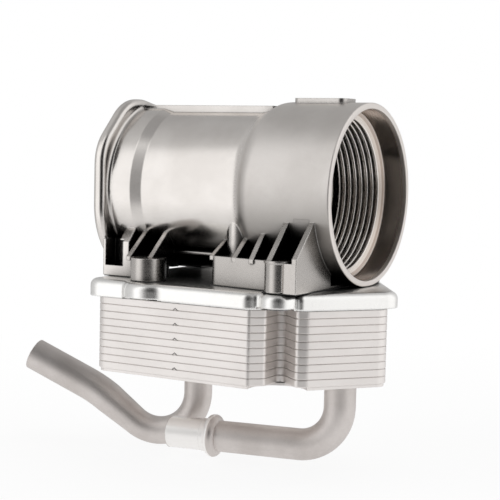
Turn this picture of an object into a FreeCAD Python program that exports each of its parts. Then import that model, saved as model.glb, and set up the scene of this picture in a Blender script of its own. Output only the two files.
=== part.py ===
import FreeCAD, Part
import math
import os
import re
import Sketcher

# Oil filter housing with a flat-plate oil cooler. Origin: centre of the open rim, on the bore axis.
# X runs out of the open end, Z is up, the cooler hangs below. All sizes in millimetres.
os.makedirs("parts", exist_ok=True)
doc = FreeCAD.newDocument("OilCooler")
sheet = doc.addObject("Spreadsheet::Sheet", "Sizes")

SIZES = {
    # filter cup and tube
    "cup_r": 45.5, "cup_len": 44.0, "shoulder_len": 12.0, "tube_r": 41.6, "tube_end_r": 41.5,
    "tube_end": 109.4, "band_start": 115.5, "band_r": 43.1, "neck_soft": 2.0,
    "flange_front": 129.2, "flange_back": 136.0, "flange_half": 47.3, "flange_top": 46.2,
    "flange_corner": 39.0, "flange_top_corner": 24.0, "flange_edge": 2.6,
    # bore
    "seal_r": 42.6, "seal_len": 12.6, "seat_len": 1.7, "thread_crest_r": 38.2,
    "thread_root_r": 40.4, "thread_pitch": 3.25, "thread_start": 14.6, "end_ring": 41.0,
    "end_ring_len": 1.2, "deep_r": 35.2, "deep_len": 104.0, "oil_out_r": 9.0, "oil_in_r": 7.0, "oil_in_offset": 22.0,
    # feet
    "base_bottom": 45.1, "base_top": 31.0, "base_right": 8.0, "base_left": 63.5,
    "base_front_left": 47.0, "base_front_mid": 52.5, "base_mid": 28.0, "base_front_right": 60.3,
    "base_back": 40.0, "base_back_right": 21.5, "base_tip": 4.0, "base_step": 15.0, "base_step_half": 25.0,
    "base_corner": 4.0, "lip_t": 1.5, "rib_t": 2.6,
    "boss_x": 20.5, "boss_y": 54.0, "boss_r": 7.0, "boss_collar_r": 7.5, "boss_top": 30.2,
    "back_x": 34.0, "back_y": 36.0, "riser_x": 55.3, "riser_y": 32.8, "riser_r": 6.2,
    "foot_x": 98.0, "foot_y": 50.0, "foot_r": 9.0, "foot_top": 34.0, "foot_left": 130.5,
    "foot_front": 44.2, "foot_back": 24.0, "foot_web_left": 120.5, "foot_web_right": 114.5,
    "foot_side_top": 26.6, "foot_right": 103.0,
    # gasket, top plate
    "gasket_t": 0.5, "plate_top": 45.6, "band_low": 54.26, "plate_left": 130.0,
    "plate_front": 63.5, "plate_front_left": 61.0, "plate_mid": 32.5, "plate_right": 22.5,
    "plate_back": 48.0, "plate_round": 3.6, "ear_x": 93.0, "ear_y": 53.0, "ear_r": 14.0,
    "ear_low": 53.0, "lobe_r": 9.2, "lobe_low": 52.4, "rim_low": 53.4,
    # cooler plates
    "pitch": 3.656, "stack_left": 124.2, "stack_front": 59.5, "notch_front": 33.4,
    "stack_right": 17.0, "stack_back": 43.5, "stack_corner": 7.0, "wall_t": 1.6,
    "floor_t": 0.8, "notch_r": 8.2, "notch_x": 27.5, "notch_in": 53.2, "notch_deep": 36.4,
    "notch_out_x": 13.7, "notch_out": 48.0, "nose_x": 9.1, "nose_y": 45.3, "notch_back_y": 38.0,
    "notch_shoulder": 2.5, "nose_r": 5.0, "seam": 0.35, "low_plate_t": 1.4, "low_notch_r": 14.2,
    "fin_t": 0.3, "fin_h": 2.4,
    # coolant pipes
    "out_r": 8.0, "spigot_r": 8.15, "out_wall": 1.2, "out_x": 9.6, "out_y": 8.5, "out_drop": 13.4,
    "out_bend": 21.0, "out_run": 70.1, "bead_at": 67.0, "bead_minor": 3.3, "bead_major": 7.7,
    "bead_band": 2.4,
    "in_r": 7.5, "in_end_r": 8.6, "in_wall": 1.2, "in_x": 99.0, "in_y": 0.0, "in_drop": 17.6,
    "in_bend": 22.3, "in_slope": 19.1, "in_bend_two": 79.0, "in_tail": 33.5,
    # plate screws
    "screw_r": 3.0, "screw_head_r": 5.6, "screw_head_h": 3.4,
}
for row, (alias, size) in enumerate(SIZES.items(), 1):
    sheet.set(f"A{row}", alias)
    sheet.set(f"B{row}", str(size))
    sheet.setAlias(f"B{row}", alias)
doc.recompute()

PLATES = 10
TURNS = 7
OUT_HEADING = 10.6
IN_HEADING = 15.5


def cell(text):
    """An expression in size names, written for a FreeCAD binding."""
    return re.sub(r"[A-Za-z_]\w*", r"Sizes.\g<0>", text)


def num(text):
    """The present value of a sum of products of size names and numbers."""
    total = 0.0
    for sign, term in re.findall(r"([+-]?)\s*([\w.*/]+)", text):
        value = 1.0
        for step, factor in re.findall(r"([*/]?)([\w.]+)", term):
            number = float(factor) if factor[0].isdigit() else float(sheet.get(factor))
            value = value / number if step == "/" else value * number
        total += -value if sign == "-" else value
    return total


def bind(item, **texts):
    """Bind properties of an object to expressions; x, y and z move it."""
    for prop, text in texts.items():
        path = "Placement.Base." + prop if prop in "xyz" else prop
        item.setExpression(path, cell(text))
    return item


def box(name, x, y, z, long, wide, high):
    item = doc.addObject("Part::Box", name)
    return bind(item, x=x, y=y, z=z, Length=long, Width=wide, Height=high)


def post(name, x, y, low, radius, high):
    item = doc.addObject("Part::Cylinder", name)
    return bind(item, x=x, y=y, z=low, Radius=radius, Height=high)


def bar(name, x, y, z, radius, long):
    """A cylinder along X that starts at x."""
    item = doc.addObject("Part::Cylinder", name)
    item.Placement = FreeCAD.Placement(FreeCAD.Vector(), FreeCAD.Rotation(FreeCAD.Vector(0, 1, 0), 90))
    return bind(item, x=x, y=y, z=z, Radius=radius, Height=long)


def sketch(name, points, rotation=None, arcs=None):
    """A closed outline of lines and arcs with every corner bound to sizes.

    arcs gives, for the side that starts at a corner, a radius; minus turns it clockwise."""
    item = doc.addObject("Sketcher::SketchObject", name)
    if rotation:
        item.Placement = FreeCAD.Placement(FreeCAD.Vector(), rotation)
    spots = [FreeCAD.Vector(num(x), num(y), 0) for x, y in points]
    ends = []
    for i, start in enumerate(spots):
        stop = spots[(i + 1) % len(spots)]
        text = (arcs or {}).get(i)
        if text is None:
            item.addGeometry(Part.LineSegment(start, stop), False)
            ends.append((1, 2))
            continue
        side = -1 if text.startswith("-") else 1
        radius = abs(num(text))
        span = stop - start
        rise = math.sqrt(max(radius ** 2 - span.Length ** 2 / 4, 0))
        normal = FreeCAD.Vector(-span.y, span.x, 0).normalize()
        centre = (start + stop) * 0.5 + normal * rise * side
        first, last = (start, stop) if side > 0 else (stop, start)
        angles = [math.atan2(spot.y - centre.y, spot.x - centre.x) for spot in (first, last)]
        if angles[1] < angles[0]:
            angles[1] += 2 * math.pi
        circle = Part.Circle(centre, FreeCAD.Vector(0, 0, 1), radius)
        item.addGeometry(Part.ArcOfCircle(circle, *angles), False)
        ends.append((1, 2) if side > 0 else (2, 1))
    for i in range(len(spots)):
        after = (i + 1) % len(spots)
        item.addConstraint(Sketcher.Constraint("Coincident", i, ends[i][1], after, ends[after][0]))
    for i, (x, y) in enumerate(points):
        for kind, text in (("DistanceX", x), ("DistanceY", y)):
            rule = Sketcher.Constraint(kind, -1, 1, i, ends[i][0], num(text))
            index = item.addConstraint(rule)
            item.setExpression(f"Constraints[{index}]", cell(text))
        if (arcs or {}).get(i):
            index = item.addConstraint(Sketcher.Constraint("Radius", i, abs(num(arcs[i]))))
            item.setExpression(f"Constraints[{index}]", cell(arcs[i].lstrip("-")))
    return item


def prism(name, points, low, high, arcs=None):
    """A plan outline raised from one height to another."""
    base = bind(sketch(name + "_plan", points, arcs=arcs), z=low)
    item = doc.addObject("Part::Extrusion", name)
    item.Base = base
    item.DirMode = "Normal"
    item.Solid = True
    return bind(item, LengthFwd=high)


def turned(name, points, arcs=None):
    """A profile of (along X, radius) corners turned about the bore axis."""
    item = doc.addObject("Part::Revolution", name)
    item.Source = sketch(name + "_profile", points, arcs=arcs)
    item.Axis = FreeCAD.Vector(1, 0, 0)
    item.Base = FreeCAD.Vector()
    item.Angle = 360
    item.Solid = True
    return item


def slab(name, points, x, thick):
    """A (Y, Z) outline that is thick towards plus X from x."""
    turn = FreeCAD.Rotation(FreeCAD.Matrix(0, 0, 1, 0, 1, 0, 0, 0, 0, 1, 0, 0, 0, 0, 0, 1))
    base = bind(sketch(name + "_side", points, rotation=turn), x=x)
    item = doc.addObject("Part::Extrusion", name)
    item.Base = base
    item.DirMode = "Normal"
    item.Solid = True
    return bind(item, LengthFwd=thick)


def fuse(name, items):
    item = doc.addObject("Part::MultiFuse", name)
    item.Shapes = items
    item.Refine = True
    return item


def cut(name, base, tools):
    item = doc.addObject("Part::Cut", name)
    item.Base = base
    item.Tool = tools[0] if len(tools) == 1 else fuse(name + "_tools", tools)
    item.Refine = True
    return item


def rounded(name, base, radius, chosen, kind="Part::Fillet"):
    """Round or bevel the edges of base for which chosen(edge) holds."""
    doc.recompute()
    item = doc.addObject(kind, name)
    item.Base = base
    size = num(radius)
    item.Edges = [(i, size, size) for i, edge in enumerate(base.Shape.Edges, 1) if chosen(edge)]
    doc.recompute()
    return item


def upright(edge):
    box_of = edge.BoundBox
    return box_of.XLength < 0.01 and box_of.YLength < 0.01 and box_of.ZLength > 0.5


def at_height(z, slack=0.02):
    return lambda edge: abs(edge.BoundBox.ZMin - z) < slack and abs(edge.BoundBox.ZMax - z) < slack


# housing: turned outside of cup, shoulder, tube and end band
shell = turned("shell", [
    ("-flange_back+0.5", "0"),
    ("-flange_back+0.5", "band_r"),
    ("-band_start", "band_r"),
    ("-tube_end", "tube_end_r"),
    ("-cup_len-shoulder_len", "tube_r"),
    ("-cup_len-shoulder_len/2", "cup_r/2+tube_r/2"),
    ("-cup_len", "cup_r"),
    ("-0.5", "cup_r"),
    ("0", "cup_r-0.5"),
    ("0", "0"),
], arcs={4: "10.3", 5: "-10.3"})

# end flange, round below and flattened towards the upper front
flange_block = slab("flange_block", [
    ("-flange_half", "-flange_half"),
    ("flange_half", "-flange_half"),
    ("flange_half", "12"),
    ("30", "35"),
    ("10", "flange_top-4"),
    ("-10", "flange_top"),
    ("-24", "flange_top"),
    ("-flange_half", "21.5"),
], "-flange_back", "flange_back-flange_front")


def long_edge(edge):
    return edge.BoundBox.YLength < 0.01 and edge.BoundBox.ZLength < 0.01


flange_low = rounded("flange_low", flange_block, "flange_corner",
                     lambda edge: long_edge(edge) and edge.BoundBox.ZMax < 0)
flange_soft = rounded("flange_soft", flange_low, "flange_top_corner",
                      lambda edge: long_edge(edge) and edge.BoundBox.ZMin > 11)
flange = rounded("flange", flange_soft, "flange_edge", lambda edge: edge.BoundBox.XLength < 0.01)

# hollow blend from the front of the flange to the band
neck_ring = turned("neck_ring", [
    ("-flange_front-0.5", "band_r-0.5"),
    ("-flange_front-0.5", "band_r+neck_soft"),
    ("-flange_front", "band_r+neck_soft"),
    ("-flange_front+neck_soft", "band_r"),
    ("-flange_front+neck_soft", "band_r-0.5"),
], arcs={2: "neck_soft"})
neck_blend = cut("neck_blend", neck_ring, [box("neck_far", "-flange_back", "-8", "-60", "20", "70", "120")])

# right base under the cup
base_block = prism("base_block", [
    ("-base_left", "-base_front_left"),
    ("-base_mid", "-base_front_mid"),
    ("-boss_x+boss_r-1", "-base_front_right"),
    ("-base_right", "-base_front_right"),
    ("-base_right", "-base_step_half"),
    ("-base_step", "-base_step_half"),
    ("-base_step", "5"),
    ("-base_tip", "5"),
    ("-base_tip", "base_back_right"),
    ("-18", "base_back-1"),
    ("-base_left", "base_back"),
], "-base_bottom", "base_bottom-base_top")
base_soft = rounded("base_soft", base_block, "base_corner",
                    lambda edge: upright(edge) and abs(edge.BoundBox.XMin + num("base_left")) < 0.1)
lip = box("lip", "-base_step-1", "-base_step_half-1", "-base_bottom", "base_step-base_right+1",
          "2*base_step_half+2", "lip_t")
boss = post("boss", "-boss_x", "-boss_y", "-base_bottom", "boss_r", "base_bottom-boss_top")
boss_collar = post("boss_collar", "-boss_x", "-boss_y", "-boss_top-1.2", "boss_collar_r", "1.2")
boss_back = post("boss_back", "-back_x", "back_y", "-base_bottom", "boss_r",
                 "base_bottom-base_top+2")

# round cast column under the shoulder
riser = post("riser", "-riser_x", "-riser_y", "-base_bottom", "riser_r", "base_bottom-5")

# thin ribs from the base up to the cup
ribs = []
RIBS = [
    ("rib_five", "-base_right-rib_t", "rib_t", "60.2", "28.9", "43.2", "11.6"),
    ("rib_four", "-21.7-rib_t", "rib_t", "60.0", "30.2", "43.0", "12.1"),
    ("rib_three", "-36.0-rib_t", "rib_t", "52.0", "31.2", "40.6", "18.4"),
    ("rib_two", "-47.2-rib_t", "rib_t", "49.4", "31.2", "37.0", "21.0"),
    ("rib_one", "-base_left-0.4", "2.2", "46.8", "31.2", "33.0", "23.0"),
]
for name, x, thick, out, low, reach, high in RIBS:
    ribs.append(slab(name, [
        (f"-{out}", f"-{low}"),
        (f"-{reach}", f"-{high}"),
        ("-28", f"-{high}"),
        ("-28", "-base_bottom+6"),
        (f"-{out}", "-base_top-2"),
    ], x, thick))

# left foot below the end band, with its round boss
foot_block = box("foot_block", "-foot_x-10", "-foot_y", "-base_bottom", "foot_x+10-foot_right",
                 "foot_y-foot_back", "base_bottom-foot_top")
foot_post = post("foot_post", "-foot_x", "-foot_y", "-base_bottom", "foot_r",
                 "base_bottom-foot_top")
foot_web = slab("foot_web", [
    ("-foot_front", "-base_bottom"),
    ("-foot_front", "-27.5"),
    ("-38", "-20.5"),
    ("-foot_back", "-20.5"),
    ("-foot_back", "-base_bottom"),
], "-foot_web_left", "foot_web_left-foot_web_right")
foot_side = box("foot_side", "-foot_left", "-foot_front", "-base_bottom", "foot_left-foot_web_left+1",
                "foot_front-foot_back", "base_bottom-foot_side_top")
foot_low = box("foot_low", "-foot_web_right-1", "-foot_front", "-base_bottom",
               "foot_web_right+1-foot_right", "foot_front-foot_back", "base_bottom-foot_top")
foot_ribs = []
for name, x, out, reach in [
    ("foot_rib_one", "-111.2", "51.0", "35.8"),
    ("foot_rib_two", "-98.8", "50.0", "35.8"),
]:
    foot_ribs.append(slab(name, [
        (f"-{out}", "-34.2"),
        (f"-{reach}", "-21.8"),
        ("-26", "-21.8"),
        ("-26", "-40"),
        (f"-{out}", "-36"),
    ], x, "rib_t"))
back_foot = box("back_foot", "-134", "24", "-base_bottom", "20", "20", "base_bottom-22")
under_rib = box("under_rib", "-foot_right-1", "-30.4", "-32.6", "foot_right-base_left+3", "4", "1.3")

# flat strip and oblong pad on top
strip_side = slab("strip", [
    ("-12", "38"),
    ("9", "38"),
    ("9", "43.3"),
    ("-12", "43.3"),
], "-flange_front-1", "flange_front+1-cup_len-shoulder_len/2")
top_pad = box("top_pad", "-41", "-8", "40", "29", "15", "7.4")
pad_soft = rounded("pad_soft", top_pad, "3.5", upright)

outside = fuse("outside", [
    shell, flange, neck_blend, base_soft, lip, boss, boss_collar, boss_back, riser, foot_block, foot_post,
    foot_web, foot_side, foot_low, back_foot, under_rib, strip_side, pad_soft,
] + ribs + foot_ribs)

# bore with sealing land, thread grooves and deep part
grooves = []
for k in range(TURNS):
    start = f"-thread_start-{k}*thread_pitch"
    grooves += [
        (start, "thread_crest_r"),
        (start + "-thread_pitch*0.36", "thread_root_r"),
        (start + "-thread_pitch*0.46", "thread_root_r"),
        (start + "-thread_pitch*0.82", "thread_crest_r"),
    ]
bore = turned("bore", [
    ("1", "0"),
    ("1", "seal_r"),
    ("-seal_len", "seal_r"),
    ("-seal_len-seat_len", "thread_crest_r"),
] + grooves + [
    ("-end_ring", "thread_crest_r"),
    ("-end_ring-end_ring_len", "deep_r"),
    ("-deep_len", "deep_r"),
    ("-deep_len", "0"),
])
oil_out = bar("oil_out", "-flange_back-1", "0", "0", "oil_out_r", "flange_back+2-deep_len")
oil_in = bar("oil_in", "-flange_back-1", "oil_in_offset", "0", "oil_in_r", "flange_back+2-deep_len")
seal_ring = bar("seal_ring", "-flange_back-1", "0", "0", "35", "3.2")
seal_core = bar("seal_core", "-flange_back-2", "0", "0", "31.5", "6")
seal_groove = cut("seal_groove", seal_ring, [seal_core])
foot_pocket = box("foot_pocket", "-129", "-foot_front-1", "-40", "10.8", "9", "13.4")
pit_one = box("pit_one", "-33.4", "-46", "-41", "9.1", "14", "20")
pit_two = box("pit_two", "-19.1", "-47.5", "-41", "8.5", "14", "30")
pit_three = box("pit_three", "-46.6", "-45", "-41", "8", "14", "16")
below = box("below", "-160", "-80", "-base_bottom-20", "180", "160", "20")
port_one = post("port_one", "-36", "0", "-60", "7", "30")
port_two = post("port_two", "-52", "24", "-60", "6", "30")
screw_hole = post("screw_hole", "-boss_x", "-boss_y", "-base_bottom-1", "screw_r-0.4", "13")
screw_hole_back = post("screw_hole_back", "-back_x", "back_y", "-base_bottom-1", "screw_r-0.4",
                       "13")
pit_guard = bar("pit_guard", "-60", "0", "0", "cup_r-0.05", "60")
pits = cut("pits", fuse("pit_blocks", [pit_one, pit_two, pit_three]), [pit_guard])
housing = cut("filter_housing", outside, [
    bore, oil_out, oil_in, seal_groove, foot_pocket, pits, below, port_one, port_two, screw_hole,
    screw_hole_back,
])

# gasket between base and top plate
gasket_plan = prism("gasket_plan_body", [
    ("-base_left+0.4", "-base_front_left+0.4"),
    ("-base_mid", "-base_front_mid+0.4"),
    ("-boss_x-boss_r+1", "-base_front_right+0.5"),
    ("-base_right-0.4", "-base_front_right+0.4"),
    ("-base_right-0.4", "5.4"),
    ("-base_tip-0.4", "5.4"),
    ("-base_tip-0.4", "base_back_right-0.2"),
    ("-18.2", "base_back-1.4"),
    ("-base_left+0.4", "base_back-0.4"),
], "-plate_top", "gasket_t")
gasket_foot = box("gasket_foot", "-foot_left+0.4", "-foot_front+0.4", "-plate_top",
                  "foot_left-foot_right-0.4", "foot_front-foot_back-0.4", "gasket_t")
gasket_post = post("gasket_post", "-foot_x", "-foot_y", "-plate_top", "foot_r-0.4", "gasket_t")
gasket = cut("base_gasket", gasket_plan, [
    post("gasket_port_one", "-36", "0", "-60", "7", "30"),
    post("gasket_port_two", "-52", "24", "-60", "6", "30"),
    post("gasket_screw", "-boss_x", "-boss_y", "-60", "screw_r+0.3", "30"),
    post("gasket_screw_back", "-back_x", "back_y", "-60", "screw_r+0.3", "30"),
])
gasket_neck = box("gasket_neck", "-foot_x-9.6", "-foot_y", "-plate_top", "foot_x+9.6-foot_right",
                  "foot_y-foot_back", "gasket_t")
pad_gasket = fuse("foot_gasket", [gasket_foot, gasket_post, gasket_neck])

# outline of the cooler plates
STACK_PLAN = [
    ("-stack_left", "-stack_front"),
    ("-notch_front", "-stack_front"),
    ("-notch_x", "-notch_in"),
    ("-notch_x-0.8", "-notch_deep"),
    ("-notch_out_x", "-notch_out"),
    ("-nose_x", "-nose_y"),
    ("stack_right", "-11.6"),
    ("-20.2", "stack_back"),
    ("-stack_left", "stack_back"),
]


def stack_body(name, low, high):
    """A block of the stack's plan with its two notches and soft upright corners."""
    block = prism(name + "_block", STACK_PLAN, low, high)
    notched = cut(name + "_notched", block, [
        post(name + "_notch_back", "-back_x", "notch_back_y", low + "-1", "notch_r", high + "+2"),
    ])
    far = rounded(name + "_far", notched, "stack_corner",
                  lambda edge: upright(edge) and (edge.BoundBox.XMin > 0 or edge.BoundBox.XMin < -num("stack_left") + 2))
    nose = rounded(name + "_nose", far, "nose_r",
                   lambda edge: upright(edge) and abs(edge.BoundBox.XMin + num("nose_x")) < 0.1)

    def shoulder(edge):
        x, y = edge.BoundBox.XMin, edge.BoundBox.YMin
        front = -num("notch_front") - 0.1 < x < -num("notch_out_x") + 0.1 and y < 0
        rear = -num("stack_left") * 0.4 < x < -num("stack_left") * 0.1 and y > num("stack_back") - 3
        return upright(edge) and (front or rear)
    return rounded(name + "_soft", nose, "notch_shoulder", shoulder)


# mounting plate with two ears
plate_block = prism("plate_block", [
    ("-plate_left", "-plate_front_left"),
    ("-ear_x-ear_r+1", "-plate_front_left"),
    ("-ear_x-ear_r+4", "-plate_front"),
    ("-plate_mid", "-plate_front"),
    ("-plate_mid+4", "-plate_front+3.5"),
    ("-17.5", "-50"),
    ("-13.2", "-52.8"),
    ("-9.2", "-52.8"),
    ("plate_right", "-11.8"),
    ("-17.8", "plate_back"),
    ("-plate_left", "plate_back"),
], "-band_low", "band_low-plate_top")
ear = post("ear", "-ear_x", "-ear_y", "-band_low", "ear_r", "band_low-plate_top")
lobe = post("lobe", "-boss_x", "-boss_y", "-band_low", "lobe_r", "band_low-plate_top")
plate_union = fuse("plate_union", [plate_block, ear, lobe])


def plate_corner(edge):
    x, y = edge.BoundBox.XMin, edge.BoundBox.YMin
    return upright(edge) and (x > 5 or x < -num("plate_left") + 1 or y > num("plate_back") - 1)


def near(x, y, reach):
    return lambda edge: upright(edge) and math.hypot(edge.BoundBox.XMin - x, edge.BoundBox.YMin - y) < reach


plate_soft = rounded("plate_soft", plate_union, "8.5", plate_corner)
plate_ear = rounded("plate_ear", plate_soft, "9", near(-83.7, -num("plate_front"), 1.5))
plate_bend = rounded("plate_bend", plate_ear, "6", near(-num("plate_mid"), -num("plate_front"), 0.5))
plate_valley = rounded("plate_valley", plate_bend, "2.5", near(-28.5, -59.5, 1.6))
plate_nose = rounded("plate_nose", plate_valley, "3.4", near(-9.2, -52.8, 0.5))
plate_smooth = rounded("plate_smooth", plate_nose, "plate_round", at_height(-num("plate_top")))
rim_relief = cut("rim_relief", box("relief_block", "-ear_x-ear_r+1", "-80", "-band_low-1", "160", "140",
                                   "band_low-rim_low+1"),
                 [stack_body("land", "-band_low-2", "4")])
top_plate = cut("top_plate", plate_smooth, [
    rim_relief,
    post("lobe_relief", "-boss_x", "-boss_y-3", "-band_low-1", "lobe_r", "band_low-lobe_low+1"),
    post("ear_relief", "-ear_x", "-ear_y-10", "-band_low-1", "ear_r-4", "band_low-ear_low+1"),
    post("plate_port_one", "-36", "0", "-60", "7", "30"),
    post("plate_port_two", "-52", "24", "-60", "6", "30"),
    post("plate_screw", "-boss_x", "-boss_y", "-60", "screw_r+0.3", "30"),
    post("plate_screw_back", "-back_x", "back_y", "-60", "screw_r+0.3", "30"),
    post("plate_seat", "-boss_x", "-boss_y", "-band_low-1", "screw_head_r+0.3", "screw_head_h+1.9"),
    post("plate_seat_back", "-back_x", "back_y", "-band_low-1", "screw_head_r+0.3", "screw_head_h+1.9"),
])

# trays, closed below and open above
tray_shouldered = stack_body("tray", "0", "pitch")


def rim_edge(edge):
    return edge.BoundBox.ZLength < 0.01


tray_bevel = rounded("tray_bevel", tray_shouldered, "seam", rim_edge, "Part::Chamfer")
tray_hollow = prism("tray_hollow", [
    ("-stack_left+4", "-stack_front+wall_t+1"),
    ("-notch_front-0.6", "-stack_front+wall_t+1"),
    ("-notch_front-0.6", "-33"),
    ("-nose_x", "-33"),
    ("stack_right-6", "-12"),
    ("-11", "22"),
    ("-46", "22"),
    ("-46", "stack_back-3"),
    ("-stack_left+4", "stack_back-3"),
], "floor_t", "pitch")
plain_form = cut("plain_form", tray_bevel, [tray_hollow])
mark = doc.addObject("Part::Extrusion", "mark")
mark.Base = bind(sketch("mark_front", [
    ("-76.9", "-0.1"),
    ("-75.1", "1.35"),
    ("-73.1", "-0.1"),
    ("-73.9", "-0.1"),
    ("-75.1", "0.75"),
    ("-76.2", "-0.1"),
], rotation=FreeCAD.Rotation(FreeCAD.Vector(1, 0, 0), 90)), y="-stack_front+0.5")
mark.DirMode = "Normal"
mark.Solid = True
bind(mark, LengthFwd="1")
marked_form = cut("marked_form", plain_form, [mark])

trays = []
for k in range(PLATES):
    tray = doc.addObject("Part::Compound", f"cooler_plate_{k + 1:02d}")
    tray.Links = [plain_form if k % 2 else marked_form]
    trays.append(bind(tray, z=f"-band_low-{k + 1}*pitch"))

# fin sheets inside the trays
fin_parts = [box("fin_sheet", "-stack_left+6", "-50", "floor_t", "stack_left-44", "71", "fin_t")]
for k in range(8):
    fin_parts.append(box(f"fin_wave_{k}", f"-stack_left+8+{k}*9.4", "-46", "floor_t", "0.6", "64", "fin_h"))
fin_form = fuse("fin_form", fin_parts)
fins = []
for k in range(PLATES):
    fin = doc.addObject("Part::Compound", f"fin_sheet_{k + 1:02d}")
    fin.Links = [fin_form]
    fins.append(bind(fin, z=f"-band_low-{k + 1}*pitch"))

# lowest plate, flat, a little inside the trays
low_plan = [
    ("-stack_left+1", "-stack_front+0.8"),
    ("-20", "-stack_front+0.8"),
    ("stack_right-1", "-11.6"),
    ("-20.6", "stack_back-0.8"),
    ("-stack_left+1", "stack_back-0.8"),
]


def far_upright(edge):
    """Upright edges away from the notches."""
    x = edge.BoundBox.XMin
    return upright(edge) and (x > 0 or x < -num("stack_left") + 2)


low_block = prism("low_block", low_plan, f"-band_low-{PLATES}*pitch-low_plate_t", "low_plate_t")
low_soft = rounded("low_soft", low_block, "stack_corner-1", far_upright)
low_plate = cut("cooler_bottom_plate", low_soft, [
    post("low_notch", "-boss_x", "-notch_in", "-100", "low_notch_r", "20"),
    post("low_notch_back", "-back_x", "notch_back_y", "-100", "notch_r+0.5", "20"),
    post("low_hole_out", "-out_x", "-out_y", "-100", "out_r", "20"),
    post("low_hole_in", "-in_x", "-in_y", "-100", "in_r", "20"),
])


def pipe(name, start, heading, steps, radii, wall):
    """A bent round pipe in one upright plane; it sets off straight down.

    heading is the plan direction, steps are ("line", size) or ("bend", size, degrees), and radii
    names the outer radius at each step's end, with the start's first."""
    solids = []
    for label in ("skin", "hole"):
        spot = FreeCAD.Vector(*start)
        pitch_angle = -90.0
        pieces = []
        for index, step in enumerate(steps):
            sizes = [size if label == "skin" else f"{size}-{wall}" for size in radii[index:index + 2]]
            down = math.radians(pitch_angle)
            way = heading * math.cos(down) + FreeCAD.Vector(0, 0, math.sin(down))
            if step[0] == "line":
                spare = 1.0 if label == "hole" and index in (0, len(steps) - 1) else 0.0
                begin = spot - way * spare if index == 0 else spot
                turn = FreeCAD.Rotation(FreeCAD.Vector(0, 0, 1), way)
                tapered = radii[index] != radii[index + 1]
                item = doc.addObject("Part::Cone" if tapered else "Part::Cylinder", f"{name}_{label}_{index}")
                item.Placement = FreeCAD.Placement(begin, turn)
                if tapered:
                    bind(item, Radius1=sizes[0], Radius2=sizes[1], Height=step[1])
                else:
                    bind(item, Radius=sizes[0], Height=f"{step[1]}+{spare}")
                spot = spot + way * num(step[1])
            else:
                item = doc.addObject("Part::Torus", f"{name}_{label}_{index}")
                side = 1 if step[2] > 0 else -1
                inward = (FreeCAD.Vector(0, 0, 1) * math.cos(down) - heading * math.sin(down)) * side
                centre = spot + inward * num(step[1])
                axis_x = inward * -1
                turn = FreeCAD.Rotation(axis_x, way, axis_x.cross(way), "XZY")
                item.Placement = FreeCAD.Placement(centre, turn)
                item.Angle3 = abs(step[2])
                bind(item, Radius1=step[1], Radius2=sizes[0])
                pitch_angle += step[2]
                after = math.radians(pitch_angle)
                outward = (FreeCAD.Vector(0, 0, 1) * math.cos(after) - heading * math.sin(after)) * -side
                spot = centre + outward * num(step[1])
            pieces.append(item)
        solids.append(fuse(f"{name}_{label}", pieces))
    return solids, spot


low_z = -num(f"band_low+{PLATES}*pitch+low_plate_t") + 1.4
turn_out = math.radians(OUT_HEADING)
way_out = FreeCAD.Vector(-math.cos(turn_out), -math.sin(turn_out), 0)
(out_skin, out_hole), out_end = pipe(
    "outlet", (-num("out_x"), -num("out_y"), low_z), way_out,
    [("line", "out_drop+1.4"), ("bend", "out_bend", 90.0), ("line", "out_run")], ["out_r"] * 4, "out_wall")
bead = doc.addObject("Part::Torus", "outlet_bead")
bead_spot = FreeCAD.Vector(-num("out_x"), -num("out_y"), out_end.z) + way_out * num("bead_at")
bead.Placement = FreeCAD.Placement(bead_spot, FreeCAD.Rotation(FreeCAD.Vector(0, 0, 1), way_out))
bind(bead, Radius1="bead_major", Radius2="bead_minor")
bead_band = doc.addObject("Part::Cylinder", "outlet_bead_band")
bead_band.Placement = FreeCAD.Placement(bead_spot, FreeCAD.Rotation(FreeCAD.Vector(0, 0, 1), way_out))
bind(bead_band, Radius="out_r+0.5", Height="bead_minor+bead_band")
spigot = doc.addObject("Part::Cylinder", "outlet_spigot")
spigot.Placement = FreeCAD.Placement(bead_spot, FreeCAD.Rotation(FreeCAD.Vector(0, 0, 1), way_out))
bind(spigot, Radius="spigot_r", Height="out_bend+out_run-bead_at")
outlet = cut("coolant_outlet_pipe", fuse("outlet_outside", [out_skin, bead, bead_band, spigot]), [out_hole])

turn_in = math.radians(IN_HEADING)
way_in = FreeCAD.Vector(-math.cos(turn_in), -math.sin(turn_in), 0)
(in_skin, in_hole), in_end = pipe(
    "inlet", (-num("in_x"), -num("in_y"), low_z), way_in,
    [("line", "in_drop+1.4"), ("bend", "in_bend", 125.9), ("line", "in_slope"),
     ("bend", "in_bend_two", -11.6), ("line", "in_tail")],
    ["in_r", "in_r", "in_r", "in_end_r", "in_end_r", "in_end_r"], "in_wall")
inlet = cut("coolant_inlet_pipe", in_skin, [in_hole])

# screws that hold the mounting plate at the notches
screws = doc.addObject("Part::Compound", "plate_screws")
screw_solids = []
for label, x, y in (("front", "-boss_x", "-boss_y"), ("back", "-back_x", "back_y")):
    head = post(f"screw_head_{label}", x, y, "-band_low+0.9", "screw_head_r", "screw_head_h")
    socket = doc.addObject("Part::Prism", f"screw_socket_{label}")
    socket.Polygon = 6
    bind(socket, x=x, y=y, z="-band_low-1", Circumradius="screw_r", Height="3.2")
    shank = post(f"screw_shank_{label}", x, y, "-band_low+screw_head_h", "screw_r-0.4",
                 "band_low-screw_head_h-base_bottom+9")
    body = fuse(f"screw_body_{label}", [head, shank])
    screw_solids.append(cut(f"screw_{label}", body, [socket]))
screws.Links = screw_solids
doc.recompute()

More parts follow.
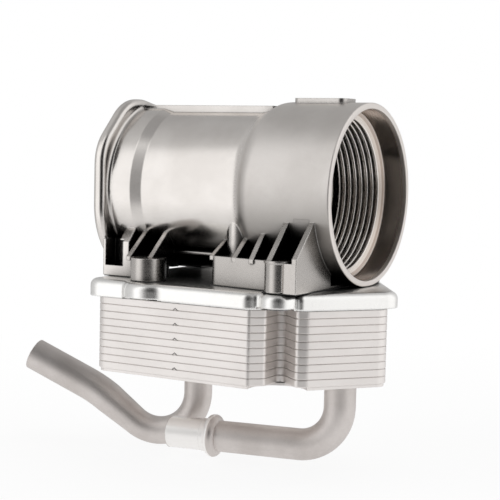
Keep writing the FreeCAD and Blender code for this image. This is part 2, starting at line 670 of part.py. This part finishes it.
NODES = [housing, gasket, pad_gasket, top_plate, low_plate, outlet, inlet, screws] + trays + fins
for item in doc.Objects:
    if "Invalid" in item.State or "Error" in item.State:
        raise RuntimeError(f"{item.Label}: {item.State}")
for item in NODES:
    shape = item.Shape
    if shape.isNull() or not shape.isValid() or not shape.Solids:
        raise RuntimeError(f"{item.Label} has no valid solid")
    shape.exportStep(f"parts/{item.Label}.step")
    print(item.Label, len(shape.Solids), round(shape.Volume / 1000.0, 2), "cm3")
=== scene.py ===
import math

import bpy
from mathutils import Matrix, Vector


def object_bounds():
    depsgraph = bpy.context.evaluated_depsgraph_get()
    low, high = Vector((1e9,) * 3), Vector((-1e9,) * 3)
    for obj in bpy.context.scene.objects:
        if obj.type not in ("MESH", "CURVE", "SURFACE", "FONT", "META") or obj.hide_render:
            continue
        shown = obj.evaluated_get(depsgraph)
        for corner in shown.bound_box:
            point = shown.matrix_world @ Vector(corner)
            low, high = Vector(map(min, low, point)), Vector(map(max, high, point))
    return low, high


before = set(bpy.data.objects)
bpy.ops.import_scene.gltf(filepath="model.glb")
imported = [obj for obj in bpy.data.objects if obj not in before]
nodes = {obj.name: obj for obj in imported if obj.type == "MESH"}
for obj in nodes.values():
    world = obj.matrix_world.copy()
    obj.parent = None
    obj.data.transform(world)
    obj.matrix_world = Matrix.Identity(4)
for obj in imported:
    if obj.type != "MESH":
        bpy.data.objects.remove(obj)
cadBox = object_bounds()
print("frame loaded:", len(nodes), "nodes")

# camera at the photograph's place, a little above the bore axis
cameraPlace = {
    "location": (0.2887, -0.6043, 0.0246),
    "turn": 30.6,       # degrees round the object from the front
    "pitch": 4.55,      # degrees down
    "roll": 1.3,
    "lens": 97.2,
    "sensor": 36,
    "clip": (0.01, 20),
}


def makeCamera(place):
    turn, pitch, roll = (math.radians(place[k]) for k in ("turn", "pitch", "roll"))
    ahead = Vector((
        -math.sin(turn) * math.cos(pitch),
        math.cos(turn) * math.cos(pitch),
        -math.sin(pitch),
    ))
    right = Vector((math.cos(turn), math.sin(turn), 0))
    up = right.cross(ahead)
    side = right * math.cos(roll) + up * math.sin(roll)
    top = up * math.cos(roll) - right * math.sin(roll)
    lens = bpy.data.cameras.new("photoCamera")
    lens.lens = place["lens"]
    lens.sensor_width = place["sensor"]
    lens.clip_start, lens.clip_end = place["clip"]
    camera = bpy.data.objects.new("photoCamera", lens)
    bpy.context.scene.collection.objects.link(camera)
    turned = Matrix((side, top, -ahead)).transposed().to_4x4()
    camera.matrix_world = Matrix.Translation(place["location"]) @ turned
    bpy.context.scene.camera = camera


makeCamera(cameraPlace)
print("camera placed")


# small helpers for shader trees
def addNode(tree, kind, **values):
    node = tree.nodes.new(kind)
    for name, value in values.items():
        setattr(node, name, value)
    return node


def joinUp(tree, fromSocket, toSocket):
    tree.links.new(fromSocket, toSocket)


# a socket takes a plain value or a link
def feed(tree, value, socket):
    if isinstance(value, bpy.types.NodeSocket):
        tree.links.new(value, socket)
    else:
        socket.default_value = value


def mathNode(tree, operation, first, second=None):
    node = addNode(tree, "ShaderNodeMath", operation=operation)
    feed(tree, first, node.inputs[0])
    if second is not None:
        feed(tree, second, node.inputs[1])
    return node.outputs[0]


def multiply(tree, first, second):
    return mathNode(tree, "MULTIPLY", first, second)


def rangeNode(tree, value, fromLow, fromHigh, toLow=0.0, toHigh=1.0):
    node = addNode(tree, "ShaderNodeMapRange", interpolation_type="SMOOTHSTEP")
    joinUp(tree, value, node.inputs["Value"])
    limits = {"From Min": fromLow, "From Max": fromHigh, "To Min": toLow, "To Max": toHigh}
    for name, number in limits.items():
        node.inputs[name].default_value = number
    return node.outputs["Result"]


def blendColour(tree, share, first, second, mode="MIX"):
    node = addNode(tree, "ShaderNodeMix", data_type="RGBA", blend_type=mode)
    feed(tree, share, node.inputs[0])
    feed(tree, first, node.inputs[6])
    feed(tree, second, node.inputs[7])
    return node.outputs[2]


def noiseNode(tree, place, scale, detail, roughness=0.5):
    node = addNode(tree, "ShaderNodeTexNoise")
    joinUp(tree, place, node.inputs["Vector"])
    feed(tree, scale, node.inputs["Scale"])
    feed(tree, detail, node.inputs["Detail"])
    feed(tree, roughness, node.inputs["Roughness"])
    return node.outputs["Fac"]


def objectPlace(tree):
    return addNode(tree, "ShaderNodeTexCoord").outputs["Object"]


def splitPlace(tree, place):
    parts = addNode(tree, "ShaderNodeSeparateXYZ")
    joinUp(tree, place, parts.inputs[0])
    return parts.outputs["X"], parts.outputs["Y"], parts.outputs["Z"]


def newGroup(name, takes, gives):
    group = bpy.data.node_groups.new(name, "ShaderNodeTree")
    for label, value in takes.items():
        socket = group.interface.new_socket(
            label, in_out="INPUT", socket_type="NodeSocketFloat")
        socket.default_value = value
    for label, kind in gives.items():
        group.interface.new_socket(
            label, in_out="OUTPUT", socket_type="NodeSocket" + kind)
    return group, addNode(group, "NodeGroupInput"), addNode(group, "NodeGroupOutput")


def useGroup(tree, group, values):
    node = addNode(tree, "ShaderNodeGroup")
    node.node_tree = group
    for name, value in values.items():
        node.inputs[name].default_value = value
    return node


# cast or rolled skin: blotches, fine grain and shallow dimples
skinShape = {
    "blotchDetail": 4.0,
    "blotchRough": 0.55,
    "blotchRange": (0.3, 0.7),
    "grainDetail": 3.0,
    "grainRough": 0.6,
    "grainRange": (0.25, 0.75),
    "grainHeight": 0.5,
    "dimpleScale": 0.25,     # of the grain's scale
    "dimpleDetail": 2.0,
}


def makeMetalSkin(shape):
    group, given, out = newGroup(
        "metalSkin",
        {"Grain Scale": 900.0, "Blotch Scale": 45.0},
        {"Tone": "Float", "Mottle": "Float", "Height": "Float"})
    place = objectPlace(group)
    grainScale = given.outputs["Grain Scale"]
    blotch = noiseNode(group, place, given.outputs["Blotch Scale"],
                       shape["blotchDetail"], shape["blotchRough"])
    grain = noiseNode(group, place, grainScale, shape["grainDetail"], shape["grainRough"])
    dimples = noiseNode(group, place, multiply(group, grainScale, shape["dimpleScale"]),
                        shape["dimpleDetail"])
    height = mathNode(group, "ADD", multiply(group, grain, shape["grainHeight"]), dimples)
    joinUp(group, rangeNode(group, blotch, *shape["blotchRange"]), out.inputs["Tone"])
    joinUp(group, rangeNode(group, grain, *shape["grainRange"]), out.inputs["Mottle"])
    joinUp(group, height, out.inputs["Height"])
    return group


# softened edges, and a mask of where they are, for edge wear and a painted highlight on the
# edges
edgeShape = {"samples": 6, "turn": (0.02, 0.2)}


def makeEdgeWear(shape):
    group, given, out = newGroup(
        "edgeWear", {"Radius": 0.0008}, {"Normal": "Vector", "Edge": "Float"})
    softened = addNode(group, "ShaderNodeBevel", samples=shape["samples"])
    joinUp(group, given.outputs["Radius"], softened.inputs["Radius"])
    flat = addNode(group, "ShaderNodeNewGeometry")
    dot = addNode(group, "ShaderNodeVectorMath", operation="DOT_PRODUCT")
    joinUp(group, softened.outputs["Normal"], dot.inputs[0])
    joinUp(group, flat.outputs["Normal"], dot.inputs[1])
    turn = mathNode(group, "SUBTRACT", 1.0, dot.outputs["Value"])
    joinUp(group, softened.outputs["Normal"], out.inputs["Normal"])
    joinUp(group, rangeNode(group, turn, *shape["turn"]), out.inputs["Edge"])
    return group


# zones of the housing, in metres: where each one's mask goes from 0 to 1, by the distance
# from the bore axis, the place along it (0 at the rim, the flange at -x) and the height
zoneEdges = {
    "landRadius": (0.04345, 0.0433),
    "landX": (-0.0152, -0.0148),
    "threadRadius": (0.0409, 0.0406),
    "boreX": (-0.1045, -0.1035),
    "rimX": (-0.0005, -0.0003),
    "mouthX": (-0.0030, -0.0018),
    "threadX": (-0.0122, -0.0128),
    "deepX": (-0.0405, -0.0425),
    "cupOutside": (0.0466, 0.0460),
    "cupInside": (0.0412, 0.0430),
    "cupX": (-0.0575, -0.0480),
    "tubeOutside": (0.0450, 0.0436),
    "tubeInside": (0.0408, 0.0412),
    "tubeX": (-0.0520, -0.0570),
    "flangeX": (-0.1150, -0.1165),
    "lowZ": (0.010, -0.016),
    "footRadius": (0.0464, 0.0476),
    "footZ": (-0.020, -0.026),
    "footX": (-0.1120, -0.1090),
}
turnedLines = {"stretch": 30.0, "detail": 2.0}


# masks of the zones, and the fine lines that the turning tool left in the bore
def makeTurnedZones(edges, lines):
    group, given, out = newGroup("turnedZones", {"Lines": 4000.0}, {
        "Line": "Float", "Bore": "Float", "Mouth": "Float", "Thread": "Float", "Deep": "Float",
        "Cup": "Float", "Tube": "Float", "Foot": "Float", "Low": "Float"})
    x, y, z = splitPlace(group, objectPlace(group))
    square = mathNode(group, "ADD", multiply(group, y, y), multiply(group, z, z))
    radius = mathNode(group, "SQRT", square)

    spot = addNode(group, "ShaderNodeCombineXYZ")
    along = multiply(group, mathNode(group, "ADD", x, radius), given.outputs["Lines"])
    joinUp(group, along, spot.inputs["X"])
    joinUp(group, multiply(group, z, lines["stretch"]), spot.inputs["Y"])
    line = noiseNode(group, spot.outputs[0], 1.0, lines["detail"])

    def within(value, name):
        return rangeNode(group, value, *edges[name])

    def both(first, second):
        return multiply(group, first, second)

    def either(first, second):
        return mathNode(group, "MAXIMUM", first, second)

    land = both(within(radius, "landRadius"), within(x, "landX"))
    bore = both(within(radius, "threadRadius"), within(x, "boreX"))
    onCup = both(within(radius, "cupOutside"), within(radius, "cupInside"))
    onTube = both(within(radius, "tubeOutside"), within(radius, "tubeInside"))
    lowOutside = both(within(radius, "cupInside"), within(z, "lowZ"))
    onFoot = both(within(radius, "footRadius"), within(z, "footZ"))
    masks = {
        "Line": line,
        "Bore": either(either(land, bore), within(x, "rimX")),
        # the bore's mouth: rougher, with a painted highlight
        "Mouth": within(x, "mouthX"),
        "Thread": both(bore, within(x, "threadX")),
        # deep inside the bore, for painted shade
        "Deep": both(bore, within(x, "deepX")),
        "Cup": both(onCup, within(x, "cupX")),
        "Tube": either(both(onTube, within(x, "tubeX")), within(x, "flangeX")),
        # the base and feet below the tube: painted shade there, and less grain
        "Foot": both(onFoot, within(x, "footX")),
        # the cup's lower side, for painted shade
        "Low": both(lowOutside, within(x, "cupX")),
    }
    for name, mask in masks.items():
        joinUp(group, mask, out.inputs[name])
    return group


# where the surface is shut in: painted shade, darker in the corners and creases of a cast and
# brazed part
cavitySamples = 16


def makeCavity(samples):
    group, given, out = newGroup(
        "cavity", {"Reach": 0.02, "Shut": 0.1, "Open": 0.7, "Darkest": 0.1}, {"Shade": "Float"})
    around = addNode(group, "ShaderNodeAmbientOcclusion", samples=samples)
    joinUp(group, given.outputs["Reach"], around.inputs["Distance"])
    step = addNode(group, "ShaderNodeMapRange", interpolation_type="SMOOTHSTEP")
    joinUp(group, around.outputs["AO"], step.inputs["Value"])
    for label, name in (("From Min", "Shut"), ("From Max", "Open"), ("To Min", "Darkest")):
        joinUp(group, given.outputs[name], step.inputs[label])
    joinUp(group, step.outputs["Result"], out.inputs["Shade"])
    return group


metalSkin = makeMetalSkin(skinShape)
edgeWear = makeEdgeWear(edgeShape)
turnedZones = makeTurnedZones(zoneEdges, turnedLines)
cavity = makeCavity(cavitySamples)
print("shader groups made")


def newMaterial(name):
    material = bpy.data.materials.new(name)
    material.use_nodes = True
    tree = material.node_tree
    return material, tree, tree.nodes["Principled BSDF"]


def useSkin(tree, finish):
    return useGroup(tree, metalSkin, {
        "Grain Scale": finish["grain"], "Blotch Scale": finish["blotch"]})


def useWear(tree, finish):
    return useGroup(tree, edgeWear, {"Radius": finish["radius"]})


def skinColour(tree, skin, finish):
    return blendColour(tree, skin.outputs["Tone"], finish["low"], finish["high"])


def skinRough(tree, skin, finish):
    return rangeNode(tree, skin.outputs["Mottle"], 0.0, 1.0, *finish["rough"])


def paint(tree, mask, share, under, over):
    return blendColour(tree, multiply(tree, mask, share), under, over)


# edge wear and a painted highlight: the colour is lighter on the edges
def paintEdges(tree, wear, colour, finish):
    return paint(tree, wear.outputs["Edge"], finish["edgeShare"], colour, finish["edge"])


# painted shade: the colour is darkened where the surface is shut in
def shadeCorners(tree, colour, values):
    dark = useGroup(tree, cavity, values)
    grey = addNode(tree, "ShaderNodeCombineColor")
    for name in ("Red", "Green", "Blue"):
        joinUp(tree, dark.outputs["Shade"], grey.inputs[name])
    return blendColour(tree, 1.0, colour, grey.outputs["Color"], "MULTIPLY")


def bumpInto(tree, shader, height, normal, bumpSize):
    bump = addNode(tree, "ShaderNodeBump")
    for name, value in zip(("Strength", "Distance"), bumpSize):
        bump.inputs[name].default_value = value
    joinUp(tree, height, bump.inputs["Height"])
    if normal is not None:
        joinUp(tree, normal, bump.inputs["Normal"])
    joinUp(tree, bump.outputs["Normal"], shader.inputs["Normal"])


# filter housing: die cast outside, turned inside
castFinish = {
    "low": (0.69, 0.655, 0.625, 1),
    "high": (0.77, 0.735, 0.705, 1),
    # edge colour: wear and a painted highlight
    "edge": (0.90, 0.875, 0.85, 1),
    "edgeShare": 0.6,
    # painted shade on the base and feet below the tube
    "foot": (0.57, 0.54, 0.515, 1),
    "footShare": 0.9,
    "under": (0.37, 0.35, 0.33, 1),      # painted shade on the cup's lower side
    "underShare": 0.8,
    "land": (0.62, 0.55, 0.50, 1),
    # painted highlight at the bore's mouth, in place of its lead-in chamfer
    "mouth": (0.88, 0.83, 0.79, 1),
    "thread": (0.94, 0.90, 0.86, 1),
    # painted shade deep inside the bore
    "deep": (0.03, 0.027, 0.025, 1),
    "lineShare": 0.3,
    "lines": 5200.0,
    "grain": 1400.0,
    "blotch": 38.0,
    "rough": (0.24, 0.31),
    "roughSteps": {"Cup": 0.14, "Tube": -0.08},
    "boreRough": 0.19,
    "mouthRough": 0.24,      # more than the rest of the bore
    "calm": {"Tube": 0.75, "Foot": 1.0},      # how much of the grain is taken away
    "bump": (0.05, 0.00012),
    "radius": 0.0009,
    # painted shade in the corners
    "corners": {"Reach": 0.045, "Shut": 0.12, "Open": 0.92, "Darkest": 0.02},
}


def makeCastMetal(finish):
    material, tree, shader = newMaterial("diecastAluminium")
    skin = useSkin(tree, finish)
    wear = useWear(tree, finish)
    zones = useGroup(tree, turnedZones, {"Lines": finish["lines"]}).outputs
    bored = zones["Bore"]

    cast = skinColour(tree, skin, finish)
    # painted shade on the cup's lower side
    cast = paint(tree, zones["Low"], finish["underShare"], cast, finish["under"])
    # painted shade on the base and feet below the tube
    cast = paint(tree, zones["Foot"], finish["footShare"], cast, finish["foot"])
    # edge wear and a painted highlight on the edges
    cast = paintEdges(tree, wear, cast, finish)
    # painted shade in the corners
    cast = shadeCorners(tree, cast, finish["corners"])
    # painted highlight at the bore's mouth, in place of its lead-in chamfer
    bore = blendColour(tree, zones["Mouth"], finish["land"], finish["mouth"])
    bore = blendColour(tree, zones["Thread"], bore, finish["thread"])
    bore = paint(tree, zones["Line"], finish["lineShare"], bore, finish["low"])
    # painted shade deep inside the bore
    bore = blendColour(tree, zones["Deep"], bore, finish["deep"])
    joinUp(tree, blendColour(tree, bored, cast, bore), shader.inputs["Base Color"])

    rough = skinRough(tree, skin, finish)
    for zone, step in finish["roughSteps"].items():
        rough = mathNode(tree, "ADD", rough, multiply(tree, zones[zone], step))
    turned = multiply(tree, zones["Mouth"], finish["mouthRough"])
    turned = multiply(tree, bored, mathNode(tree, "ADD", turned, finish["boreRough"]))
    outside = multiply(tree, rough, mathNode(tree, "SUBTRACT", 1.0, bored))
    joinUp(tree, mathNode(tree, "ADD", outside, turned), shader.inputs["Roughness"])
    shader.inputs["Metallic"].default_value = 1.0

    calmTube, calmFoot = (multiply(tree, zones[k], finish["calm"][k]) for k in ("Tube", "Foot"))
    grainShare = mathNode(tree, "SUBTRACT", 1.0, mathNode(tree, "ADD", calmTube, calmFoot))
    height = mathNode(tree, "ADD", multiply(tree, skin.outputs["Height"], grainShare),
                      multiply(tree, bored, zones["Line"]))
    bumpInto(tree, shader, height, wear.outputs["Normal"], finish["bump"])
    return material


# pressed plates of the stack, and the polished mounting plate above them
stackFinish = {
    "low": (0.84, 0.80, 0.775, 1),
    "high": (0.90, 0.86, 0.835, 1),
    # edge colour: wear and a painted highlight
    "edge": (0.95, 0.93, 0.915, 1),
    "edgeShare": 0.5,
    "grain": 1800.0,
    "blotch": 30.0,
    "rough": (0.40, 0.48),
    "bump": (0.08, 0.0001),
    "radius": 0.00035,
    # painted shade in the seams between the plates
    "corners": {"Reach": 0.0016, "Shut": 0.25, "Open": 0.75, "Darkest": 0.3},
}
mountingFinish = {
    "low": (0.92, 0.91, 0.89, 1),
    "high": (0.96, 0.95, 0.93, 1),
    # edge colour: wear and a painted highlight
    "edge": (0.97, 0.965, 0.955, 1),
    "edgeShare": 0.5,
    "grain": 1800.0,
    "blotch": 30.0,
    "rough": (0.27, 0.34),
    "bump": (0.08, 0.0001),
    "radius": 0.0012,
    # painted shade in the corners
    "corners": {"Reach": 0.015, "Shut": 0.1, "Open": 0.5, "Darkest": 0.15},
}


def makePlateMetal(finish, name):
    material, tree, shader = newMaterial(name)
    skin = useSkin(tree, finish)
    wear = useWear(tree, finish)
    # edge wear and a painted highlight on the edges
    colour = paintEdges(tree, wear, skinColour(tree, skin, finish), finish)
    # painted shade in the corners and seams
    colour = shadeCorners(tree, colour, finish["corners"])
    joinUp(tree, colour, shader.inputs["Base Color"])
    joinUp(tree, skinRough(tree, skin, finish), shader.inputs["Roughness"])
    shader.inputs["Metallic"].default_value = 1.0
    bumpInto(tree, shader, skin.outputs["Height"], wear.outputs["Normal"], finish["bump"])
    return material


# coolant pipes: drawn tube with a warm dull skin, brighter on the outlet's sleeve
pipeFinish = {
    "low": (0.64, 0.595, 0.57, 1),
    "high": (0.72, 0.675, 0.65, 1),
    # edge colour: wear and a painted highlight
    "edge": (0.82, 0.79, 0.77, 1),
    "edgeShare": 0.5,
    "grain": 1100.0,
    "blotch": 60.0,
    "rough": (0.44, 0.54),
    "bump": (0.1, 0.00012),
    "radius": 0.0006,
    "sleeve": (0.96, 0.94, 0.92, 1),
    "sleeveRough": -0.13,
    "sleeveLeft": (-0.0980, -0.0975),
    "sleeveRight": (-0.0740, -0.0745),
    "sleeveFront": (-0.0132, -0.0137),
}


def makePipeMetal(finish):
    material, tree, shader = newMaterial("drawnAluminiumTube")
    skin = useSkin(tree, finish)
    wear = useWear(tree, finish)
    x, y = splitPlace(tree, objectPlace(tree))[:2]
    sleeve = multiply(tree, rangeNode(tree, x, *finish["sleeveLeft"]),
                      rangeNode(tree, x, *finish["sleeveRight"]))
    sleeve = multiply(tree, sleeve, rangeNode(tree, y, *finish["sleeveFront"]))
    colour = blendColour(tree, sleeve, skinColour(tree, skin, finish), finish["sleeve"])
    # edge wear and a painted highlight on the edges
    joinUp(tree, paintEdges(tree, wear, colour, finish), shader.inputs["Base Color"])
    rough = mathNode(tree, "ADD", skinRough(tree, skin, finish),
                     multiply(tree, sleeve, finish["sleeveRough"]))
    joinUp(tree, rough, shader.inputs["Roughness"])
    shader.inputs["Metallic"].default_value = 1.0
    bumpInto(tree, shader, skin.outputs["Height"], wear.outputs["Normal"], finish["bump"])
    return material


# gaskets: black moulded rubber
sealFinish = {
    "low": (0.012, 0.012, 0.012, 1),
    "high": (0.03, 0.029, 0.028, 1),
    "grain": 2200.0,
    "blotch": 90.0,
    "rough": (0.5, 0.7),
    "bump": (0.2, 0.0001),
}


def makeSealRubber(finish):
    material, tree, shader = newMaterial("sealRubber")
    skin = useSkin(tree, finish)
    joinUp(tree, skinColour(tree, skin, finish), shader.inputs["Base Color"])
    joinUp(tree, skinRough(tree, skin, finish), shader.inputs["Roughness"])
    bumpInto(tree, shader, skin.outputs["Height"], None, finish["bump"])
    return material


# socket screws: zinc plated steel
screwFinish = {
    "low": (0.20, 0.20, 0.205, 1),
    "high": (0.34, 0.335, 0.33, 1),
    "grain": 2600.0,
    "blotch": 200.0,
    "rough": (0.25, 0.4),
    "bump": (0.15, 0.00008),
    "radius": 0.0004,
}


def makeScrewSteel(finish):
    material, tree, shader = newMaterial("platedSteel")
    skin = useSkin(tree, finish)
    wear = useWear(tree, finish)
    joinUp(tree, skinColour(tree, skin, finish), shader.inputs["Base Color"])
    joinUp(tree, skinRough(tree, skin, finish), shader.inputs["Roughness"])
    shader.inputs["Metallic"].default_value = 1.0
    bumpInto(tree, shader, skin.outputs["Height"], wear.outputs["Normal"], finish["bump"])
    return material


castMetal = makeCastMetal(castFinish)
stackMetal = makePlateMetal(stackFinish, "pressedPlate")
topMetal = makePlateMetal(mountingFinish, "mountingPlate")
pipeMetal = makePipeMetal(pipeFinish)
sealRubber = makeSealRubber(sealFinish)
screwSteel = makeScrewSteel(screwFinish)


def materialFor(name):
    if name == "filter_housing":
        return castMetal
    if name.endswith("_gasket"):
        return sealRubber
    if name == "top_plate":
        return topMetal
    if name.endswith("_pipe"):
        return pipeMetal
    if name == "plate_screws":
        return screwSteel
    return stackMetal


for name, item in nodes.items():
    item.data.materials.clear()
    item.data.materials.append(materialFor(name))
    for face in item.data.polygons:
        face.use_smooth = True
print("materials placed on the frame's nodes")

# studio: how bright each side is, by degrees round from the front, plus to the right
studio = {
    "sides": [
        (-180, 0.6), (-134, 0.45), (-90, 0.6), (-56, 0.65), (-47, 1.2), (-28, 1.25),
        (-20, 1.0), (-12, 0.78), (-7, 0.36), (2, 0.15), (10, 0.03), (42, 0.02),
        (54, 0.1), (66, 0.7), (76, 1.1), (130, 1.1), (150, 0.75), (180, 0.6),
    ],
    "most": 1.3,
    "top": 0.40,
    "roof": (0.80, 0.94),      # the soft boxes' upper edge, as the sine of its height
}


def makeWorld(light):
    world = bpy.data.worlds.new("studio")
    bpy.context.scene.world = world
    world.use_nodes = True
    tree = world.node_tree
    tree.nodes.clear()
    x, y, z = splitPlace(tree, addNode(tree, "ShaderNodeTexCoord").outputs["Generated"])
    around = mathNode(tree, "ARCTAN2", x, multiply(tree, y, -1.0))
    turn = mathNode(tree, "ADD", multiply(tree, around, 0.5 / math.pi), 0.5)
    ramp = addNode(tree, "ShaderNodeValToRGB")
    joinUp(tree, turn, ramp.inputs["Fac"])
    stops = ramp.color_ramp.elements
    while len(stops) < len(light["sides"]):
        stops.new(0.5)
    for stop, (degrees, level) in zip(stops, light["sides"]):
        stop.position = degrees / 360 + 0.5
        stop.color = (level / light["most"],) * 3 + (1,)
    sides = multiply(tree, ramp.outputs["Color"], light["most"])
    roof = rangeNode(tree, z, *light["roof"])
    sides = multiply(tree, sides, mathNode(tree, "SUBTRACT", 1.0, roof))
    level = mathNode(tree, "ADD", sides, multiply(tree, roof, light["top"]))

    studioLight, white = (addNode(tree, "ShaderNodeBackground") for part in range(2))
    for shader in (studioLight, white):
        shader.inputs["Color"].default_value = (1, 1, 1, 1)
    joinUp(tree, level, studioLight.inputs["Strength"])
    rays = addNode(tree, "ShaderNodeLightPath")
    choose = addNode(tree, "ShaderNodeMixShader")
    joinUp(tree, rays.outputs["Is Camera Ray"], choose.inputs[0])
    joinUp(tree, studioLight.outputs[0], choose.inputs[1])
    joinUp(tree, white.outputs[0], choose.inputs[2])
    end = addNode(tree, "ShaderNodeOutputWorld")
    joinUp(tree, choose.outputs[0], end.inputs["Surface"])


makeWorld(studio)

# pale floor under the lower pipe
floorPlace = {
    "height": cadBox[0].z - 0.0002,      # just clear of the lowest point
    "size": 1.2,
    "grey": 0.85,
    "rough": 0.9,
    "whiten": 0.9,             # how white the camera sees it, near the object
    "mirrored": 0.8,           # how white the metal sees it
    "fade": (0.12, 0.5),       # distances over which the camera's white becomes full
    "clear": (0.14, 0.57),     # distances over which the metal sees the studio instead
}


def makeFloor(place):
    bpy.ops.object.select_all(action="DESELECT")
    bpy.ops.mesh.primitive_plane_add(size=place["size"], location=(0, 0, place["height"]))
    floor = bpy.context.object
    floor.name = "floor"
    material, tree, shader = newMaterial("floorPaper")
    shader.inputs["Base Color"].default_value = (place["grey"],) * 3 + (1,)
    shader.inputs["Roughness"].default_value = place["rough"]
    glow = addNode(tree, "ShaderNodeEmission")
    glow.inputs["Color"].default_value = (1, 1, 1, 1)
    rays = addNode(tree, "ShaderNodeLightPath").outputs
    away = addNode(tree, "ShaderNodeVectorMath", operation="LENGTH")
    joinUp(tree, objectPlace(tree), away.inputs[0])
    distance = away.outputs["Value"]

    white = rangeNode(tree, distance, *place["fade"], place["whiten"], 1.0)
    seen = multiply(tree, rays["Is Camera Ray"], white)
    mirrored = multiply(tree, rays["Is Glossy Ray"], place["mirrored"])
    choose = addNode(tree, "ShaderNodeMixShader")
    joinUp(tree, mathNode(tree, "MAXIMUM", seen, mirrored), choose.inputs[0])
    joinUp(tree, shader.outputs[0], choose.inputs[1])
    joinUp(tree, glow.outputs[0], choose.inputs[2])

    # mirrored in the metal, the paper fades into the studio without an edge
    clear = multiply(tree, rays["Is Glossy Ray"], rangeNode(tree, distance, *place["clear"]))
    fade = addNode(tree, "ShaderNodeMixShader")
    joinUp(tree, clear, fade.inputs[0])
    joinUp(tree, choose.outputs[0], fade.inputs[1])
    joinUp(tree, addNode(tree, "ShaderNodeBsdfTransparent").outputs[0], fade.inputs[2])
    joinUp(tree, fade.outputs[0], tree.nodes["Material Output"].inputs["Surface"])
    floor.data.materials.append(material)


makeFloor(floorPlace)

# soft boxes beside the object
lampAim = Vector((-0.06, 0, -0.04))
lamps = [
    {"name": "leftBox", "at": (-1.1, -0.75, 0.55), "width": 0.9, "height": 0.9, "power": 6.0},
    {"name": "topBox", "at": (0.1, 0.25, 1.1), "width": 0.8, "height": 0.8, "power": 5.0},
]


def makeLamp(lamp, aim):
    light = bpy.data.lights.new(lamp["name"], "AREA")
    light.shape = "RECTANGLE"
    light.size = lamp["width"]
    light.size_y = lamp["height"]
    light.energy = lamp["power"]
    item = bpy.data.objects.new(lamp["name"], light)
    item.location = lamp["at"]
    item.rotation_euler = (aim - Vector(lamp["at"])).to_track_quat("-Z", "Y").to_euler()
    item.visible_glossy = False
    bpy.context.scene.collection.objects.link(item)


for lamp in lamps:
    makeLamp(lamp, lampAim)
bpy.context.scene.view_settings.view_transform = "Standard"
print("studio ready")
